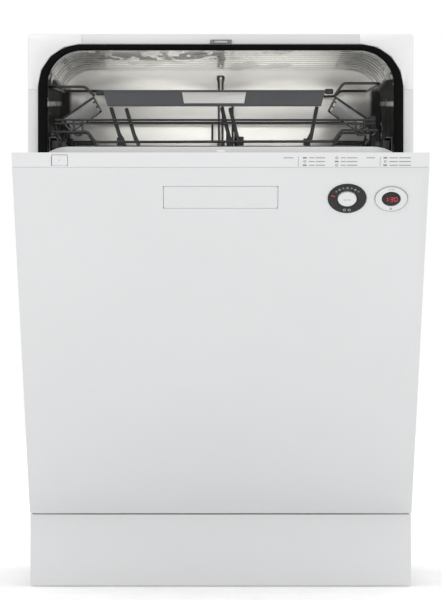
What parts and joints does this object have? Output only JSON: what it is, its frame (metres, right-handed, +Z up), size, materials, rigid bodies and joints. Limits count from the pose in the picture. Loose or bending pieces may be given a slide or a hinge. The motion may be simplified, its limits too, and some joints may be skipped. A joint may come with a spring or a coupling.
{
  "type": "built-in dishwasher",
  "caption": "Built-in dishwasher, 60 cm wide, with a drop-down door part open, steel tub, sliding racks, spray arms, control dial and buttons, plinth and levelling feet.",
  "frame": {"origin": "on the floor, at the middle of the bounding box of the machine with its door 43.5 degrees open", "axes": "+Z up; the door and the racks face -Y; +X to the right seen from the front"},
  "size_m": [0.596, 1.0026, 0.858],
  "materials": {
    "white_enamel": "smooth white, semi-gloss",
    "tub_steel": "bright stainless",
    "flange_steel": "pale satin steel",
    "zinc_steel": "zinc plated",
    "rail_steel": "stainless rail",
    "seal_rubber": "black",
    "coated_wire": "black nylon coating on wire",
    "handle_grey": "dark grey moulding",
    "works_grey": "grey polypropylene",
    "dial_grey": "charcoal",
    "lens_black": "dark window",
    "wheel_blue": "grey acetal"
  },
  "bodies": {
    "cabinet": {"kickplate": "white_enamel", "tub_wrapper": "tub_steel", "tub_back": "tub_steel", "tub_floor": "tub_steel", "feed_pipe": "tub_steel", "front_frame": "flange_steel", "corner_plate_left": "flange_steel", "corner_plate_right": "flange_steel", "side_panel_left": "zinc_steel", "side_panel_right": "zinc_steel", "latch_strike": "zinc_steel", "balance_spring_left": "zinc_steel", "balance_spring_right": "zinc_steel", "rail_left": "rail_steel", "rail_right": "rail_steel", "door_seal": "seal_rubber", "base_tray": "works_grey", "sump": "works_grey", "circulation_pump": "works_grey", "softener": "works_grey"},
    "door": {"door_panel": "white_enamel", "control_strip": "white_enamel", "door_liner": "tub_steel", "handle_recess": "handle_grey", "dispenser": "works_grey", "hinge_arm_left": "zinc_steel", "hinge_arm_right": "zinc_steel"},
    "handle_flap": {"handle_flap": "white_enamel"},
    "dial_ring": {"dial_ring": "dial_grey"},
    "select_button": {"select_button": "white_enamel"},
    "start_button": {"start_button": "white_enamel", "display_lens": "lens_black"},
    "power_button": {"power_button": "white_enamel"},
    "dispenser_lid": {"dispenser_lid": "works_grey"},
    "rinse_cap": {"rinse_cap": "works_grey"},
    "latch_hook": {"latch_hook": "zinc_steel"},
    "upper_rack": {"upper_basket": "coated_wire", "upper_handle": "handle_grey"},
    "upper_spray_arm": {"upper_spray_arm": "works_grey"},
    "upper_tines_left": {"upper_tines_left": "coated_wire"},
    "upper_tines_middle": {"upper_tines_middle": "coated_wire"},
    "upper_tines_right": {"upper_tines_right": "coated_wire"},
    "cup_shelf_left": {"cup_shelf_left": "coated_wire"},
    "cup_shelf_right": {"cup_shelf_right": "coated_wire"},
    "rack_sliders": {"slider_left": "rail_steel", "slider_right": "rail_steel"},
    "lower_rack": {"lower_basket": "coated_wire"},
    "lower_tines": {"lower_tines": "coated_wire"},
    "cutlery_basket": {"cutlery_basket": "handle_grey"},
    "lower_spray_arm": {"lower_spray_arm": "works_grey"},
    "filter_cup": {"filter_cup": "works_grey"},
    "salt_cap": {"salt_cap": "works_grey"},
    "foot_front_left": {"foot_front_left": "works_grey"},
    "lower_wheel_front_left": {"lower_wheel_front_left": "wheel_blue"},
    "foot_front_right": {"foot_front_right": "works_grey"},
    "lower_wheel_front_right": {"lower_wheel_front_right": "wheel_blue"},
    "foot_rear_left": {"foot_rear_left": "works_grey"},
    "lower_wheel_rear_left": {"lower_wheel_rear_left": "wheel_blue"},
    "foot_rear_right": {"foot_rear_right": "works_grey"},
    "lower_wheel_rear_right": {"lower_wheel_rear_right": "wheel_blue"}
  },
  "joints": [
    {"name": "door_hinge", "type": "hinge", "parent": "cabinet", "child": "door", "pos_m": [0, -0.03665, 0.207], "axis": [1, 0, 0], "range_deg": [-43.5, 46.5]},
    {"name": "handle_flap_hinge", "type": "hinge", "parent": "door", "child": "handle_flap", "pos_m": [0, -0.46047, 0.60785], "axis": [1, 0, 0], "range_deg": [0, 32], "stiffness_Nm_per_rad": 0.6},
    {"name": "dial_turn", "type": "hinge", "parent": "door", "child": "dial_ring", "pos_m": [0.1817, -0.44793, 0.59245], "axis": [0, -0.7254, -0.6884], "continuous": true},
    {"name": "select_press", "type": "slide", "parent": "door", "child": "select_button", "axis": [0, 0.7254, 0.6884], "range_m": [0, 0.0018], "stiffness_N_per_m": 900, "springref_m": -0.0015},
    {"name": "start_press", "type": "slide", "parent": "door", "child": "start_button", "axis": [0, 0.7254, 0.6884], "range_m": [0, 0.0018], "stiffness_N_per_m": 900, "springref_m": -0.0015},
    {"name": "power_press", "type": "slide", "parent": "door", "child": "power_button", "axis": [0, 0.7254, 0.6884], "range_m": [0, 0.002], "stiffness_N_per_m": 900, "springref_m": -0.0015},
    {"name": "dispenser_lid_hinge", "type": "hinge", "parent": "door", "child": "dispenser_lid", "pos_m": [0, -0.2366, 0.44531], "axis": [-1, 0, 0], "range_deg": [0, 100]},
    {"name": "rinse_cap_turn", "type": "hinge", "parent": "door", "child": "rinse_cap", "pos_m": [0.042, -0.27274, 0.48339], "axis": [0, 0.7254, 0.6884], "range_deg": [0, 90]},
    {"name": "latch_hook_pivot", "type": "hinge", "parent": "door", "child": "latch_hook", "pos_m": [0, -0.4866, 0.65275], "axis": [1, 0, 0], "range_deg": [0, 12]},
    {"name": "upper_rack_slide", "type": "slide", "parent": "cabinet", "child": "upper_rack", "axis": [0, -1, 0], "range_m": [0, 0.44]},
    {"name": "rack_sliders_slide", "type": "slide", "parent": "cabinet", "child": "rack_sliders", "axis": [0, -1, 0], "range_m": [0, 0.22]},
    {"name": "upper_spray_arm_spin", "type": "hinge", "parent": "upper_rack", "child": "upper_spray_arm", "pos_m": [-0.0095, 0.21335, 0.678], "axis": [0, 0, 1], "continuous": true},
    {"name": "upper_tines_left_fold", "type": "hinge", "parent": "upper_rack", "child": "upper_tines_left", "pos_m": [-0.157, 0.21535, 0.6995], "axis": [0, -1, 0], "range_deg": [0, 50]},
    {"name": "upper_tines_middle_fold", "type": "hinge", "parent": "upper_rack", "child": "upper_tines_middle", "pos_m": [0.014, 0.21535, 0.6995], "axis": [0, -1, 0], "range_deg": [0, 64]},
    {"name": "upper_tines_right_fold", "type": "hinge", "parent": "upper_rack", "child": "upper_tines_right", "pos_m": [0.141, 0.21535, 0.6995], "axis": [0, 1, 0], "range_deg": [0, 56]},
    {"name": "cup_shelf_left_fold", "type": "hinge", "parent": "upper_rack", "child": "cup_shelf_left", "pos_m": [-0.25, 0.21535, 0.729], "axis": [0, -1, 0], "range_deg": [-34, 44]},
    {"name": "cup_shelf_right_fold", "type": "hinge", "parent": "upper_rack", "child": "cup_shelf_right", "pos_m": [0.231, 0.21535, 0.729], "axis": [0, 1, 0], "range_deg": [-34, 44]},
    {"name": "lower_rack_roll", "type": "slide", "parent": "cabinet", "child": "lower_rack", "axis": [0, -1, 0], "range_m": [0, 0.018]},
    {"name": "lower_wheel_front_left_roll", "type": "hinge", "parent": "lower_rack", "child": "lower_wheel_front_left", "pos_m": [-0.258, 0.04135, 0.22], "axis": [1, 0, 0], "range_deg": [0, 180]},
    {"name": "lower_wheel_front_right_roll", "type": "hinge", "parent": "lower_rack", "child": "lower_wheel_front_right", "pos_m": [0.258, 0.04135, 0.22], "axis": [1, 0, 0], "range_deg": [0, 180]},
    {"name": "lower_wheel_rear_left_roll", "type": "hinge", "parent": "lower_rack", "child": "lower_wheel_rear_left", "pos_m": [-0.258, 0.38335, 0.22], "axis": [1, 0, 0], "range_deg": [0, 180]},
    {"name": "lower_wheel_rear_right_roll", "type": "hinge", "parent": "lower_rack", "child": "lower_wheel_rear_right", "pos_m": [0.258, 0.38335, 0.22], "axis": [1, 0, 0], "range_deg": [0, 180]},
    {"name": "lower_tines_fold", "type": "hinge", "parent": "lower_rack", "child": "lower_tines", "pos_m": [0, 0.25335, 0.248], "axis": [-1, 0, 0], "range_deg": [0, 80]},
    {"name": "cutlery_basket_lift", "type": "slide", "parent": "lower_rack", "child": "cutlery_basket", "axis": [0, 0, 1], "range_m": [0, 0.2]},
    {"name": "lower_spray_arm_spin", "type": "hinge", "parent": "cabinet", "child": "lower_spray_arm", "pos_m": [0, 0.21835, 0.223], "axis": [0, 0, 1], "continuous": true},
    {"name": "filter_cup_turn", "type": "hinge", "parent": "cabinet", "child": "filter_cup", "pos_m": [0, 0.12535, 0.206], "axis": [0, 0, 1], "range_deg": [0, 90]},
    {"name": "salt_cap_turn", "type": "hinge", "parent": "cabinet", "child": "salt_cap", "pos_m": [-0.17, 0.12335, 0.206], "axis": [0, 0, 1], "continuous": true},
    {"name": "foot_front_left_adjust", "type": "slide", "parent": "cabinet", "child": "foot_front_left", "axis": [0, 0, -1], "range_m": [-0.01, 0.03]},
    {"name": "foot_front_right_adjust", "type": "slide", "parent": "cabinet", "child": "foot_front_right", "axis": [0, 0, -1], "range_m": [-0.01, 0.03]},
    {"name": "foot_rear_left_adjust", "type": "slide", "parent": "cabinet", "child": "foot_rear_left", "axis": [0, 0, -1], "range_m": [-0.01, 0.03]},
    {"name": "foot_rear_right_adjust", "type": "slide", "parent": "cabinet", "child": "foot_rear_right", "axis": [0, 0, -1], "range_m": [-0.01, 0.03]}
  ],
  "couplings": [
    {"joint": "rack_sliders_slide", "follows": "upper_rack_slide", "ratio": 0.5},
    {"joint": "latch_hook_pivot", "follows": "handle_flap_hinge", "ratio": 0.35},
    {"joint": "lower_wheel_front_left_roll", "follows": "lower_rack_roll", "rad_per_m": 60.241},
    {"joint": "lower_wheel_front_right_roll", "follows": "lower_rack_roll", "rad_per_m": 60.241},
    {"joint": "lower_wheel_rear_left_roll", "follows": "lower_rack_roll", "rad_per_m": 60.241},
    {"joint": "lower_wheel_rear_right_roll", "follows": "lower_rack_roll", "rad_per_m": 60.241}
  ]
}
